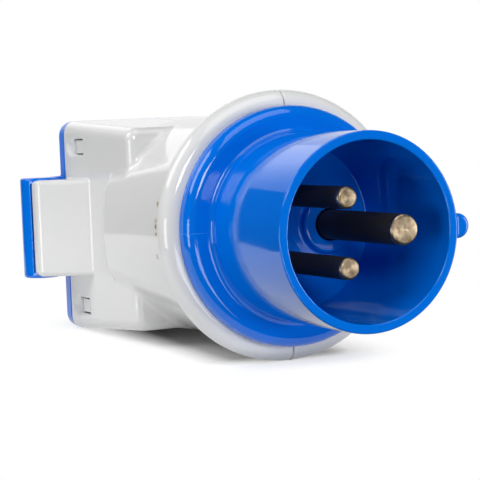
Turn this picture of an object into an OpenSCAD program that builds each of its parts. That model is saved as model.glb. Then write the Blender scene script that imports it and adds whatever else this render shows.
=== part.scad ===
// Pin and sleeve adapter: industrial plug in front, lidded domestic socket behind.
// X runs along the plug axis towards the rim, Y towards the key, Z up as it lies.
// The origin is on the plug axis in the plane of the flange's front face.

/* [Plug sleeve] */
// outer diameter of the plug sleeve
sleeve_d = 44; // [43:0.1:45]
// wall of the plug sleeve
sleeve_wall = 2.05; // [1.8:0.05:2.4]
// sleeve length from the flange's front face to the rim
sleeve_len = 34; // [30:0.5:38]
// outer diameter of the blue flange
flange_d = 56.4; // [55.5:0.1:57.5]
// thickness of the blue flange in front of the body's ring
flange_t = 4.5; // [4:0.1:5.5]
// depth of the sleeve's floor behind the flange's front face
floor_drop = 3; // [2:0.1:3.5]
// thickness of the sleeve's floor
floor_t = 6; // [5.5:0.1:7]
// width of the key rib
key_w = 5.6; // [5:0.1:6.5]
// height of the key rib above the sleeve
key_h = 3.5; // [3:0.1:4]

/* [Pins] */
// diameter of the circle that the pins stand on
pin_circle_d = 17.7; // [17.4:0.1:18.2]
// diameter of the earth pin
earth_d = 7; // [6.8:0.1:7.2]
// diameter of the two pole pins
pole_d = 5; // [4.8:0.1:5.2]
// how far the earth pin's tip stays behind the rim
earth_tip_drop = 0.5; // [0.2:0.1:3]
// how far the pole pins' tips stay behind the rim
pole_tip_drop = 1.6; // [0.5:0.1:4]
// thickness of the black cover on each pin
pin_cover_t = 0.7; // [0.6:0.05:0.9]
// length of bare metal at each tip
bare_tip = 1.2; // [1:0.1:1.6]

/* [Body] */
// outer diameter of the body's front ring
ring_d = 64; // [63.4:0.1:65]
// length of the front ring along the axis
ring_len = 5; // [4.8:0.1:5.4]
// diameter of the neck
neck_d = 55; // [54.6:0.1:56]
// how far the neck's middle lies below the plug axis
neck_drop = 0.8; // [0:0.1:1]
// distance from the flange's front face to the neck's rear end
neck_end = 54.5; // [53:0.5:57]
// width of the box at its rear rim
box_w = 53.5; // [53:0.1:54.5]
// height of the box at its rear rim
box_h = 55.4; // [54.8:0.1:56]
// how far the box's middle lies below the plug axis
box_drop = 1; // [0:0.1:1.5]
// how much each side of the box draws in over its length
box_draw = 2.4; // [2:0.1:2.6]
// length of the box along the axis
box_len = 40; // [39:0.2:41]
// chamfer on the box's long edges
box_chamfer = 2.6; // [2:0.1:3]
// distance from the flange's front face to the box's rear rim
rear_rim = 82.5; // [82:0.1:84]
// general wall of the body halves
wall = 2.4; // [2.2:0.05:2.6]
// length of a snap window along the axis
window_len = 6.8; // [6.4:0.1:7.2]
// height of a snap window
window_h = 4.8; // [4.4:0.1:5.2]

/* [Hinge and lid] */
// thickness of the lid
lid_t = 4.8; // [4.4:0.1:5.4]
// radius of the lid's hinge hood
hood_r = 5; // [4.8:0.05:5.3]
// distance of the hinge axis beyond the box's side
hinge_out = 7.5; // [7:0.1:7.8]
// height of the hinge block on the body
block_h = 25.2; // [24.6:0.1:27]
// diameter of the hinge pin
hinge_pin_d = 2.5; // [2.2:0.1:2.8]

/* [Socket] */
// diameter of the socket's round recess
recess_d = 39; // [38.6:0.1:39.4]
// depth of the recess below the socket's face
recess_depth = 17.2; // [16.5:0.1:17.6]
// distance between the two contact holes
contact_pitch = 19; // [18.8:0.1:19.2]
// diameter of the contact holes
contact_hole_d = 5.5; // [5.2:0.1:5.8]

/* [Hidden] */
$fn = 64;
// play between pieces that are fixed to each other
play = 0.2;
// running gap between the lid and the body
run_gap = 0.3;
// radial clearance of the hinge pin in the lid
pin_run = 0.05;
eps = 0.01;

sleeve_r = sleeve_d / 2;
bore_r = sleeve_r - sleeve_wall;
rim_round = 0.6;
base_fillet = 1;
flange_r = flange_d / 2;
flange_round = 2.4;
floor_x = -floor_drop;
floor_back = floor_x - floor_t;
spigot_r = flange_r - 3.2;
skirt_wall = 4.7;
skirt_r = spigot_r - skirt_wall;
skirt_x = floor_back - 8;
groove_depth = 2;
groove_r = spigot_r - groove_depth;
groove_front = -flange_t - 4.5;
groove_back = groove_front - 4;
key_notch = 6;
key_notch_depth = 3;

pin_circle_r = pin_circle_d / 2;
earth_yz = [pin_circle_r, 0];
pole_y = pin_circle_r * cos(120);
pole_z = pin_circle_r * sin(120);
live_yz = [pole_y, pole_z];
neutral_yz = [pole_y, -pole_z];
earth_tip = sleeve_len - earth_tip_drop;
pole_tip = sleeve_len - pole_tip_drop;
pin_edge = 0.8;
cover_root = 0.4;
collar_t = 2;
collar_front = floor_back + collar_t;
collar_rim = 2;
tail_d = 6.2;
tail_x = floor_back - 15;
lead_bore_r = 1.35;
lead_bore_depth = 8;
boss_h = 2.2;
boss_rim = 3.2;
retainer_t = 3;
retainer_r = skirt_r - play;
retainer_back = floor_back - retainer_t;
retainer_screw_circle = 13.5;
retainer_screw_angles = [60, 180, 300];
small_screw_r = 1.45;
small_head_r = 2.7;
small_head_t = 2;
small_bite = 3.4;

ring_r = ring_d / 2;
ring_front = -flange_t - 0.1;
ring_back = ring_front - ring_len;
ring_lip = flange_r + 0.3;
ring_front_round = ring_r - ring_lip;
ring_back_round = ring_len - ring_front_round - 0.1;
neck_r = neck_d / 2;
neck_x = -neck_end;
neck_round = 1.5;
neck_hollow_r = neck_r - neck_drop - wall;
rim_x = -rear_rim;
box_front = rim_x + box_len;
front_w = box_w - 2 * box_draw;
front_h = box_h - 2 * box_draw;
cavity_front = box_front - wall;
cavity_w = front_w - 2 * wall;
cavity_h = front_h - 2 * wall;
rear_cavity_x = box_front - 17;
rear_cavity_w = cavity_w + 2;
rear_cavity_h = cavity_h + 2;
seam = 0.05;
window_x = rim_x + 5.3;
window_z = rear_cavity_h / 2 - 3;
rebate_depth = 4;
rebate_w = box_w - 2 * wall - 0.6;
rebate_h = box_h - 2 * wall - 0.6;

body_screw_r = 1.5;
body_head_r = 2.7;
body_head_t = 2;
body_boss_r = 4.2;
body_pilot_end = -12;
body_seat_y = 13;
neck_screw_z = neck_r - 8.2;
neck_screw_x = ring_back - 16.6;
box_screw_z = front_h / 2 - 5;
box_screw_x = box_front - 11;
// each body screw's place along the axis and its height
body_screws_at = [[neck_screw_x, neck_screw_z], [neck_screw_x, -neck_screw_z],
  [box_screw_x, box_screw_z - box_drop], [box_screw_x, -box_screw_z - box_drop]];

hinge_y = -box_w / 2 - hinge_out;
lid_front = rim_x - run_gap;
lid_back = lid_front - lid_t;
hinge_x = lid_back + hood_r;
block_half = block_h / 2;
hood_half = block_half + 0.6;
hood_wall = 1.6;
hood_in_r = hood_r - hood_wall;
cheek_in = hood_half - hood_wall;
lug_r = hood_in_r - run_gap;
lug_half = cheek_in - run_gap;
lug_split = 4.6;
hood_clear_r = hood_r + run_gap + 0.05;
hinge_pin_r = hinge_pin_d / 2;
hinge_pin_half = hood_half - 0.4;
tongue_t = 2.8;
tongue_front = lid_back + tongue_t;
web_t = 1.6;
web_off = 0.15;
hood_open_from = 138;
hood_open_to = 316;
hood_steps = 9;
block_outer = hinge_y - 3.5;
block_toe_x = rim_x + 16.5;
block_heel_x = rim_x + 7.3;
lid_corner = 4;
lid_recess_t = 1.6;
gasket_in_r = 21.2;
gasket_w = 2.3;
gasket_t = 1.6;

face_x = rim_x + 0.3;
plate_t = rebate_depth - 0.5;
recess_r = recess_d / 2;
cup_wall = 1.8;
cup_r = recess_r + cup_wall;
cup_floor_x = face_x + recess_depth;
cup_floor_t = 4;
cup_back = cup_floor_x + cup_floor_t;
contact_z = contact_pitch / 2;
contact_r = 3.5;
contact_bore_r = 2.45;
contact_len = 11;
stem_r = 2.6;
stem_len = 4.5;
carrier_r = 15.2;
carrier_t = 13;
carrier_front = cup_back + carrier_t;
contact_front = cup_back + contact_len;
stem_end = contact_front + stem_len;
strap_t = 1.2;
strap_half_w = 3;
clip_half_w = 2.2;
clip_out = recess_r - 1;
clip_in = clip_out - 1;
clip_end = face_x + 4.5;
clip_bump = 1.2;
carrier_screw_yz = [[10.5, 6], [-10.5, -6]];
hook_len = window_len - 1;
hook_h = window_h - 1.4;
hook_t = 1.5;
hook_in = rear_cavity_w / 2 - play - hook_t;
hook_out = box_w / 2 - 1.3;

lead_r = 1.7;
lead_core_r = 1.2;
lead_bite = 6;
stem_bite = 3;
terminal_x = tail_x + 4;
terminal_r = 1.25;
terminal_head_r = 2.1;
terminal_head_t = 1.6;
spring_wire_r = 0.35;
spring_r = 2.1;
spring_turns = 11;
spring_pitch = 0.66;

// one sub-part's name, or all of them

// Helpers

// points of an arc from angle a0 to a1 about [cx, cy]
function arc(cx, cy, r, a0, a1, n = 6) =
  [for (i = [0:n]) let (a = a0 + (a1 - a0) * i / n) [cx + r * cos(a), cy + r * sin(a)]];

// a profile of [radius, x] points turned about the plug axis
module turned(points) {
  rotate([0, 90, 0])
    rotate_extrude($fn = 96)
      polygon(points);
}

// a round bar along X at [y, z]
module bar_x(yz, x0, x1, r) {
  translate([x0, yz[0], yz[1]])
    rotate([0, 90, 0])
      cylinder(h = x1 - x0, r = r);
}

// a round bar along Y at [x, z]
module bar_y(xz, y0, y1, r) {
  translate([xz[0], y0, xz[1]])
    rotate([-90, 0, 0])
      cylinder(h = y1 - y0, r = r);
}

// a round bar along the hinge axis
module bar_hinge(half, r) {
  translate([hinge_x, hinge_y, -half])
    cylinder(h = 2 * half, r = r);
}

// a block from its low corner to its high corner
module block(low, high) {
  translate(low)
    cube(high - low);
}

// places what belongs to the box about the box's own middle
module at_box() {
  translate([0, 0, -box_drop])
    children();
}

// a straight round bar between two points
module bar_between(p, q, r) {
  d = q - p;
  translate(p)
    rotate([0, acos(d[2] / norm(d)), atan2(d[1], d[0])])
      cylinder(h = norm(d), r = r);
}

// a square with round corners, centred
module rounded_square(w, h, r) {
  square([w - 2 * r, h], center = true);
  square([w, h - 2 * r], center = true);
  for (sx = [-1, 1], sy = [-1, 1])
    translate([sx * (w / 2 - r), sy * (h / 2 - r)])
      circle(r = r);
}

// a slotted screw along X with its head at the -X end
module screw_x(yz, seat, head_r, head_t, shank_r, bite) {
  difference() {
    union() {
      bar_x(yz, seat - head_t, seat, head_r);
      bar_x(yz, seat - eps, seat + bite, shank_r);
    }
    translate([seat - head_t, yz[0], yz[1]])
      cube([head_t, 0.8, 2 * head_r + 1], center = true);
  }
}

// Plug end

module plug_sleeve() {
  color([0.02, 0.24, 0.75])
  difference() {
    union() {
      turned(concat(
        [[0, floor_x], [bore_r, floor_x]],
        arc(bore_r + rim_round, sleeve_len - rim_round, rim_round, 180, 90),
        arc(sleeve_r - rim_round, sleeve_len - rim_round, rim_round, 90, 0),
        arc(sleeve_r + base_fillet, base_fillet, base_fillet, 180, 270),
        arc(flange_r - flange_round, -flange_round, flange_round, 90, 0),
        [[flange_r, -flange_t], [spigot_r, -flange_t],
         [spigot_r, groove_front], [groove_r, groove_front],
         [groove_r, groove_back], [spigot_r, groove_back],
         [spigot_r, skirt_x], [skirt_r, skirt_x],
         [skirt_r, floor_back], [0, floor_back]]));
      key_rib();
      bar_x(earth_yz, floor_x - 1, floor_x + boss_h, earth_d / 2 + boss_rim);
      bar_x(live_yz, floor_x - 1, floor_x + boss_h, pole_d / 2 + boss_rim);
      bar_x(neutral_yz, floor_x - 1, floor_x + boss_h, pole_d / 2 + boss_rim);
    }
    pin_seat(earth_yz, earth_d);
    pin_seat(live_yz, pole_d);
    pin_seat(neutral_yz, pole_d);
    for (a = retainer_screw_angles)
      bar_x(retainer_screw_circle * [cos(a), sin(a)], floor_back - 1,
        floor_back + small_bite + 1, small_screw_r);
    block([skirt_x - 1, -spigot_r - 1, -key_notch / 2],
      [skirt_x + key_notch_depth, -skirt_r + 1, key_notch / 2]);
  }
}

// the key rib along the sleeve's outside
module key_rib() {
  top = sleeve_r + key_h - key_w / 2;
  translate([-1, 0, 0])
    rotate([90, 0, 90])
      linear_extrude(sleeve_len - rim_round + 1)
        union() {
          translate([sleeve_r - 1, -key_w / 2])
            square([top - sleeve_r + 1, key_w]);
          translate([top, 0])
            circle(d = key_w);
        }
}

// the hole and the collar's seat for one pin
module pin_seat(yz, d) {
  bar_x(yz, floor_back - 1, floor_x + boss_h + 1, d / 2 + cover_root + play / 2);
  bar_x(yz, floor_back - 1, collar_front, d / 2 + collar_rim + play);
}

// one turned pin with its collar and its drilled tail
module pin(yz, d, tip) {
  core = d / 2 - pin_cover_t;
  translate([0, yz[0], yz[1]])
    turned(concat(
      [[0, tip]],
      arc(d / 2 - pin_edge, tip - pin_edge, pin_edge, 90, 0),
      [[d / 2, tip - bare_tip], [core, tip - bare_tip],
       [core, collar_front], [d / 2 + collar_rim, collar_front],
       [d / 2 + collar_rim, floor_back], [tail_d / 2, floor_back],
       [tail_d / 2, tail_x], [lead_bore_r, tail_x],
       [lead_bore_r, tail_x + lead_bore_depth], [0, tail_x + lead_bore_depth]]));
}

// the tapped hole for a terminal screw, from the tail's axis towards dir
module terminal_hole(yz, dir) {
  bar_between([terminal_x, yz[0], yz[1]],
    [terminal_x, yz[0] + dir[0] * tail_d, yz[1] + dir[1] * tail_d], terminal_r);
}

module earth_pin() {
  color([0.78, 0.68, 0.47])
  difference() {
    pin(earth_yz, earth_d, earth_tip);
    terminal_hole(earth_yz, [1, 0]);
  }
}

module live_pin() {
  color([0.78, 0.68, 0.47])
  difference() {
    pin(live_yz, pole_d, pole_tip);
    terminal_hole(live_yz, [0, 1]);
  }
}

module neutral_pin() {
  color([0.78, 0.68, 0.47])
  difference() {
    pin(neutral_yz, pole_d, pole_tip);
    terminal_hole(neutral_yz, [0, -1]);
  }
}

// the black tube from a pin's collar to its bare tip, thicker in the floor
module pin_cover(yz, d, tip) {
  core = d / 2 - pin_cover_t;
  root_end = floor_x + boss_h;
  translate([0, yz[0], yz[1]])
    turned([[core, collar_front], [d / 2 + cover_root, collar_front],
      [d / 2 + cover_root, root_end], [d / 2, root_end],
      [d / 2, tip - bare_tip], [core, tip - bare_tip]]);
}

module earth_pin_cover() {
  color([0.06, 0.06, 0.06])
  pin_cover(earth_yz, earth_d, earth_tip);
}

module live_pin_cover() {
  color([0.06, 0.06, 0.06])
  pin_cover(live_yz, pole_d, pole_tip);
}

module neutral_pin_cover() {
  color([0.06, 0.06, 0.06])
  pin_cover(neutral_yz, pole_d, pole_tip);
}

module pin_retainer() {
  color([0.85, 0.85, 0.83])
  difference() {
    bar_x([0, 0], retainer_back, floor_back, retainer_r);
    for (yz = [earth_yz, live_yz, neutral_yz])
      bar_x(yz, retainer_back - 1, floor_back + 1, tail_d / 2 + play);
    for (a = retainer_screw_angles)
      bar_x(retainer_screw_circle * [cos(a), sin(a)], retainer_back - 1,
        floor_back + 1, small_screw_r + play);
  }
}

module retainer_screws() {
  color([0.7, 0.7, 0.72])
  for (a = retainer_screw_angles)
    screw_x(retainer_screw_circle * [cos(a), sin(a)], retainer_back,
      small_head_r, small_head_t, small_screw_r, retainer_t + small_bite);
}

// one terminal screw pressing on the lead, its head out towards dir
module terminal_screw(yz, dir) {
  inner = lead_core_r + 0.05;
  seat = tail_d / 2 + 0.3;
  top = seat + terminal_head_t;
  p = [terminal_x, yz[0], yz[1]];
  d = [0, dir[0], dir[1]];
  difference() {
    union() {
      bar_between(p + inner * d, p + (seat + eps) * d, terminal_r);
      bar_between(p + seat * d, p + top * d, terminal_head_r);
    }
    translate(p + top * d)
      cube([2 * terminal_head_r + 1, 0.7 + abs(dir[0]), 0.7 + abs(dir[1])], center = true);
  }
}

module terminal_screws() {
  color([0.7, 0.7, 0.72]) {
    terminal_screw(earth_yz, [1, 0]);
    terminal_screw(live_yz, [0, 1]);
    terminal_screw(neutral_yz, [0, -1]);
  }
}

// Body halves

// the ring and the straight neck behind it, solid
module neck_solid() {
  turned(concat(
    [[0, ring_front], [ring_lip, ring_front]],
    arc(ring_lip, ring_front - ring_front_round, ring_front_round, 90, 0),
    arc(ring_r - ring_back_round, ring_back + ring_back_round, ring_back_round, 0, -80),
    [[0, ring_back]]));
  translate([0, 0, -neck_drop])
    turned(concat(
      [[0, ring_front - 1], [neck_r, ring_front - 1]],
      arc(neck_r - neck_round, neck_x + neck_round, neck_round, 0, -80),
      [[0, neck_x]]));
}

// a prism along one axis that draws in towards the front
module drawn_prism(rear, front) {
  linear_extrude(3 * box_h, center = true)
    polygon([[rim_x, -rear / 2], [box_front, -front / 2],
      [box_front, front / 2], [rim_x, rear / 2]]);
}

// the drafted box with its chamfered long edges, solid
module box_solid() {
  diag_rear = (box_w + box_h - 2 * box_chamfer) / sqrt(2);
  diag_front = (front_w + front_h - 2 * box_chamfer) / sqrt(2);
  intersection() {
    drawn_prism(box_w, front_w);
    rotate([90, 0, 0])
      drawn_prism(box_h, front_h);
    rotate([45, 0, 0])
      drawn_prism(diag_rear, diag_front);
    rotate([-45, 0, 0])
      drawn_prism(diag_rear, diag_front);
  }
}

// the hinge block's outline in plan, without the hood's clearance
module block_outline() {
  polygon([[block_toe_x, -box_w / 2 + 1.2], [block_heel_x, block_outer],
    [hinge_x + 1, block_outer], [hinge_x + 1, hinge_y],
    [rim_x + 0.4, hinge_y + hood_clear_r], [rim_x + 0.4, -box_w / 2 + 1.2]]);
}

module body_outside() {
  neck_solid();
  at_box()
    box_solid();
}

// everything that is hollow in the body, turned and square
module body_cavity() {
  lip_r = groove_r + play;
  turned([[0, 1], [spigot_r + play, 1], [spigot_r + play, groove_front - play],
    [lip_r, groove_front - play], [lip_r, groove_back + play],
    [spigot_r + play, groove_back + play], [spigot_r + play, skirt_x - 0.5],
    [neck_hollow_r, skirt_x - 0.5], [neck_hollow_r, neck_x - 1], [0, neck_x - 1]]);
  at_box() {
    block([rear_cavity_x, -cavity_w / 2, -cavity_h / 2],
      [cavity_front, cavity_w / 2, cavity_h / 2]);
    block([rim_x - 1, -rear_cavity_w / 2, -rear_cavity_h / 2],
      [rear_cavity_x + 1, rear_cavity_w / 2, rear_cavity_h / 2]);
    block([rim_x - 1, -rebate_w / 2, -rebate_h / 2],
      [rim_x + rebate_depth, rebate_w / 2, rebate_h / 2]);
  }
}

// the four snap windows in the box's sides
module windows() {
  at_box()
    for (sy = [-1, 1], sz = [-1, 1])
      translate([window_x + window_len / 2, sy * box_w / 2, sz * window_z])
        cube([window_len, 12, window_h], center = true);
}

// a shell for both halves, with bosses of the given span along Y
module body_shell(boss_from, boss_to) {
  difference() {
    body_outside();
    body_cavity();
  }
  intersection() {
    body_outside();
    for (p = body_screws_at)
      bar_y(p, boss_from, boss_to, body_boss_r);
  }
}

module body_half_left() {
  color([0.9, 0.9, 0.89])
  difference() {
    union() {
      intersection() {
        body_shell(body_pilot_end - 2, 1);
        block([-200, -200, -200], [200, -seam, 200]);
      }
      at_box()
        hinge_block();
      block([skirt_x - 2, -spigot_r - 1.5, -key_notch / 2 + play],
        [skirt_x + key_notch_depth - play, -skirt_r - 0.8, key_notch / 2 - play]);
    }
    windows();
    at_box()
      bar_hinge(block_half, hinge_pin_r);
    for (p = body_screws_at)
      bar_y(p, body_pilot_end, 1, body_screw_r);
  }
}

// the block beside the box with its two lugs under the lid's hood
module hinge_block() {
  difference() {
    translate([0, 0, -block_half])
      linear_extrude(block_h)
        block_outline();
    block([rim_x - 1, -rear_cavity_w / 2, -block_h], [block_toe_x + 1, 0, block_h]);
    bar_hinge(block_half + 1, hood_clear_r);
  }
  for (sz = [0, 1])
    mirror([0, 0, sz])
      hinge_lug();
}

// one lug with its web to the box
module hinge_lug() {
  translate([hinge_x, hinge_y, lug_split])
    cylinder(h = lug_half - lug_split, r = lug_r);
  block([hinge_x + web_off, hinge_y, lug_split],
    [hinge_x + web_off + web_t, -box_w / 2 + 1.2, lug_half]);
}

module body_half_right() {
  color([0.9, 0.9, 0.89])
  difference() {
    intersection() {
      body_shell(-1, box_w);
      block([-200, seam, -200], [200, 200, 200]);
    }
    windows();
    for (p = body_screws_at) {
      bar_y(p, -1, box_w, body_screw_r + play);
      bar_y(p, body_seat_y, box_w, body_head_r + play);
    }
  }
}

module body_screws() {
  color([0.7, 0.7, 0.72])
  for (p = body_screws_at)
    difference() {
      union() {
        bar_y(p, body_pilot_end + 1, body_seat_y + eps, body_screw_r);
        bar_y(p, body_seat_y, body_seat_y + body_head_t, body_head_r);
      }
      for (turn = [0, 90])
        translate([p[0], body_seat_y + body_head_t, p[1]])
          rotate([0, turn, 0])
            cube([3.2, body_head_t, 0.8], center = true);
    }
}

// Socket end

module socket_insert() {
  color([0.92, 0.92, 0.91])
  at_box()
  difference() {
    union() {
      block([face_x, -rebate_w / 2 + play, -rebate_h / 2 + play],
        [face_x + plate_t, rebate_w / 2 - play, rebate_h / 2 - play]);
      bar_x([0, 0], face_x + 1, cup_back, cup_r);
      for (sy = [0, 1], sz = [0, 1])
        mirror([0, sy, 0])
          mirror([0, 0, sz])
            snap_hook();
    }
    bar_x([0, 0], face_x - 1, cup_floor_x, recess_r);
    for (sz = [-1, 1])
      bar_x([0, sz * contact_z], cup_floor_x - 1, cup_back + 1, contact_hole_d / 2);
    for (sy = [-1, 1])
      translate([cup_floor_x + cup_floor_t / 2, sy * (clip_in + clip_out) / 2, 0])
        cube([cup_floor_t + 2, clip_out - clip_in + 0.6, 2 * clip_half_w + 0.6], center = true);
    for (yz = carrier_screw_yz)
      bar_x(yz, cup_floor_x + 0.8, cup_back + 1, small_screw_r);
  }
}

// one snap arm with its hook in the window
module snap_hook() {
  low_z = window_z - hook_h / 2;
  high_z = window_z + hook_h / 2;
  tip_x = window_x + window_len - 0.5;
  block([face_x + 1, hook_in, low_z], [tip_x, hook_in + hook_t, high_z]);
  block([tip_x - hook_len, hook_in + 0.5, low_z], [tip_x, hook_out, high_z]);
}

module contact_carrier() {
  color([0.85, 0.85, 0.83])
  at_box()
  difference() {
    bar_x([0, 0], cup_back, carrier_front, carrier_r);
    for (sz = [-1, 1]) {
      bar_x([0, sz * contact_z], cup_back - 1, contact_front, contact_r + play / 2);
      bar_x([0, sz * contact_z], cup_back, carrier_front + 1, stem_r + play);
    }
    bar_x([0, 0], cup_back - 1, carrier_front + 1, stem_r + play);
    block([cup_back - 1, -carrier_r - 1, -strap_half_w - play],
      [cup_back + strap_t + 0.1, carrier_r + 1, strap_half_w + play]);
    for (yz = carrier_screw_yz)
      bar_x(yz, cup_back - 1, carrier_front + 1, small_screw_r + play);
  }
}

module carrier_screws() {
  color([0.7, 0.7, 0.72])
  at_box()
  for (yz = carrier_screw_yz)
    mirror([1, 0, 0])
      screw_x(yz, -carrier_front, small_head_r, small_head_t, small_screw_r,
        carrier_t + 2.6);
}

// one slotted contact tube with the stem that takes its lead
module contact(z) {
  yz = [0, z];
  difference() {
    union() {
      bar_x(yz, cup_back + 0.1, contact_front, contact_r);
      bar_x(yz, contact_front - eps, stem_end, stem_r);
    }
    bar_x(yz, cup_back - 1, contact_front - 1.5, contact_bore_r);
    bar_x(yz, stem_end - stem_bite - 0.3, stem_end + 1, lead_bore_r);
    translate([cup_back + 3, 0, z])
      cube([6, 10, 0.6], center = true);
    translate([cup_back + 3, 0, z])
      cube([6, 0.6, 10], center = true);
  }
}

module live_contact() {
  color([0.80, 0.66, 0.36])
  at_box()
  contact(contact_z);
}

module neutral_contact() {
  color([0.80, 0.66, 0.36])
  at_box()
  contact(-contact_z);
}

module earth_strap() {
  color([0.80, 0.66, 0.36])
  at_box()
  difference() {
    union() {
      block([cup_back, -clip_out, -clip_half_w], [cup_back + strap_t, clip_out, clip_half_w]);
      block([cup_back, -carrier_r + 1, -strap_half_w],
        [cup_back + strap_t, carrier_r - 1, strap_half_w]);
      bar_x([0, 0], cup_back + 0.2, stem_end, stem_r);
      for (sy = [0, 1])
        mirror([0, sy, 0])
          translate([0, 0, -clip_half_w])
            linear_extrude(2 * clip_half_w)
              polygon([[cup_back + 0.2, clip_in], [cup_back + 0.2, clip_out],
                [clip_end, clip_out], [clip_end, clip_in],
                [clip_end + 2, clip_in - clip_bump], [clip_end + 4.5, clip_in]]);
    }
    bar_x([0, 0], stem_end - stem_bite - 0.3, stem_end + 1, lead_bore_r);
  }
}

// an insulated lead from a pin's tail to a contact's stem
module lead(from, to) {
  tail_end = tail_x - 0.4;
  stem_start = stem_end + 0.4;
  bar_x(from, tail_end - 1.5, tail_x + lead_bite, lead_core_r);
  bar_x(to, stem_end - stem_bite, stem_start + 1.5, lead_core_r);
  bar_between([stem_start + 0.6, to[0], to[1]], [tail_end - 0.6, from[0], from[1]], lead_r);
}

module live_lead() {
  color([0.35, 0.17, 0.08])
  lead(live_yz, [0, contact_z - box_drop]);
}

module neutral_lead() {
  color([0.10, 0.25, 0.65])
  lead(neutral_yz, [0, -contact_z - box_drop]);
}

module earth_lead() {
  color([0.25, 0.55, 0.15])
  lead(earth_yz, [0, -box_drop]);
}

// Lid and hinge

module lid() {
  color([0.02, 0.24, 0.75])
  at_box()
  difference() {
    union() {
      translate([lid_back, 0, 0])
        rotate([90, 0, 90])
          linear_extrude(lid_t)
            rounded_square(box_w, box_h, lid_corner);
      block([lid_back, hinge_y, -hood_half], [tongue_front, -box_w / 2 + 2, hood_half]);
      hood();
    }
    bar_hinge(cheek_in, hood_in_r);
    bar_hinge(hood_half + 1, hinge_pin_r + pin_run);
    bar_x([0, 0], lid_front - lid_recess_t, lid_front + 1, gasket_in_r - 1);
    turned([[gasket_in_r, lid_front - gasket_t], [gasket_in_r + gasket_w, lid_front - gasket_t],
      [gasket_in_r + gasket_w, lid_front + 1], [gasket_in_r, lid_front + 1]]);
  }
}

// the round hood over the hinge, open towards the box and the block
module hood() {
  reach = 2 * hood_r;
  step = (hood_open_to - hood_open_from) / hood_steps;
  difference() {
    bar_hinge(hood_half, hood_r);
    translate([hinge_x, hinge_y, -cheek_in])
      linear_extrude(2 * cheek_in)
        polygon(concat([[0, 0]],
          [for (i = [0:hood_steps]) let (a = hood_open_from + i * step)
            [-reach * sin(a), -reach * cos(a)]]));
  }
}

module lid_gasket() {
  color([0.12, 0.12, 0.12])
  at_box()
  turned([[gasket_in_r + 0.1, lid_front - gasket_t],
    [gasket_in_r + gasket_w - 0.1, lid_front - gasket_t],
    [gasket_in_r + gasket_w - 0.1, lid_front + 0.2], [gasket_in_r + 0.1, lid_front + 0.2]]);
}

module hinge_pin() {
  color([0.7, 0.7, 0.72])
  at_box()
  bar_hinge(hinge_pin_half, hinge_pin_r);
}

module lid_spring() {
  half = spring_pitch * spring_turns / 2;
  lid_leg = hinge_out - 0.6;
  body_leg_x = spring_r - 0.1;
  body_leg = sqrt(pow(hood_clear_r, 2) - pow(body_leg_x + spring_wire_r, 2)) - 0.1;
  color([0.62, 0.62, 0.65])
  at_box() {
    translate([hinge_x, hinge_y, 0])
      rotate_extrude()
        for (i = [0:spring_turns])
          translate([spring_r, i * spring_pitch - half])
            circle(r = spring_wire_r, $fn = 24);
    bar_y([hinge_x - spring_r + 0.3, half], hinge_y, hinge_y + lid_leg, spring_wire_r);
    bar_y([hinge_x + body_leg_x, -half], hinge_y, hinge_y + body_leg, spring_wire_r);
  }
}

plug_sleeve();
earth_pin();
live_pin();
neutral_pin();
earth_pin_cover();
live_pin_cover();
neutral_pin_cover();
pin_retainer();
retainer_screws();
terminal_screws();
body_half_left();
body_half_right();
body_screws();
socket_insert();
contact_carrier();
carrier_screws();
live_contact();
neutral_contact();
earth_strap();
live_lead();
neutral_lead();
earth_lead();
lid();
lid_gasket();
hinge_pin();
lid_spring();
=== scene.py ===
import math

import bpy
import numpy as np
from mathutils import Matrix, Vector


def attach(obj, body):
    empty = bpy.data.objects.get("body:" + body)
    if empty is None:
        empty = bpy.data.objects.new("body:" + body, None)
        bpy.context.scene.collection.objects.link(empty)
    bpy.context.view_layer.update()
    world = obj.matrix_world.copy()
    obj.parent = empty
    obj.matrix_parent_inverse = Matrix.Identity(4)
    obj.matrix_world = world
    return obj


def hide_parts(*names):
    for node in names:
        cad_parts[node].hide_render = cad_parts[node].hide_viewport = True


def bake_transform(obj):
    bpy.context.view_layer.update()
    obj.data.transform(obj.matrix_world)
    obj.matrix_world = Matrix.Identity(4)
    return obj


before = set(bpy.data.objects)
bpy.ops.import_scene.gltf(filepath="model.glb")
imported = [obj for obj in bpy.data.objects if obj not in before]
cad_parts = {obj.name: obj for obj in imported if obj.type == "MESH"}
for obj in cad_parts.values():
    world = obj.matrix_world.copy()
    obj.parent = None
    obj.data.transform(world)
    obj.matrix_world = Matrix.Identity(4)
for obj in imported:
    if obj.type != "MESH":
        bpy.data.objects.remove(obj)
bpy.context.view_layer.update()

MM = 0.001

# Sizes that the skins share with the CAD part
SLEEVE_R, SLEEVE_WALL, SLEEVE_LEN = 22.0, 2.05, 34.0
FLANGE_R, FLANGE_T = 28.2, 4.5
FLOOR_X, FLOOR_T, SKIRT_X = -3.0, 6.0, -17.0
SPIGOT_R, SKIRT_R, GROOVE_R = 25.0, 20.3, 23.0
GROOVE_FRONT, GROOVE_BACK = -9.0, -13.0
KEY_W, KEY_H, KEY_SETBACK, KEY_ROOT = 5.6, 3.5, 0.5, 1.5
PIN_CIRCLE_R, EARTH_R, POLE_R = 8.85, 3.5, 2.5
BOSS_H, BOSS_RIM = 2.2, 3.2
RING_R, RING_FRONT, RING_LEN = 32.0, -4.6, 5.0
NECK_R, NECK_END, NECK_DROP, NECK_IN_RING = 27.5, -54.5, 0.8, 1.0
RIM_X, BOX_LEN, BOX_DRAW = -82.5, 40.0, 2.4
BOX_W, BOX_H, BOX_DROP = 53.5, 55.4, 1.0
BOX_FRONT = RIM_X + BOX_LEN
WALL = 2.4
HINGE_X, HINGE_Y, HOOD_R = -82.6, -34.25, 5.0
HOOD_HALF, HOOD_WALL, HOOD_DEGREES = 13.2, 1.6, (-44, 138)
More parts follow.
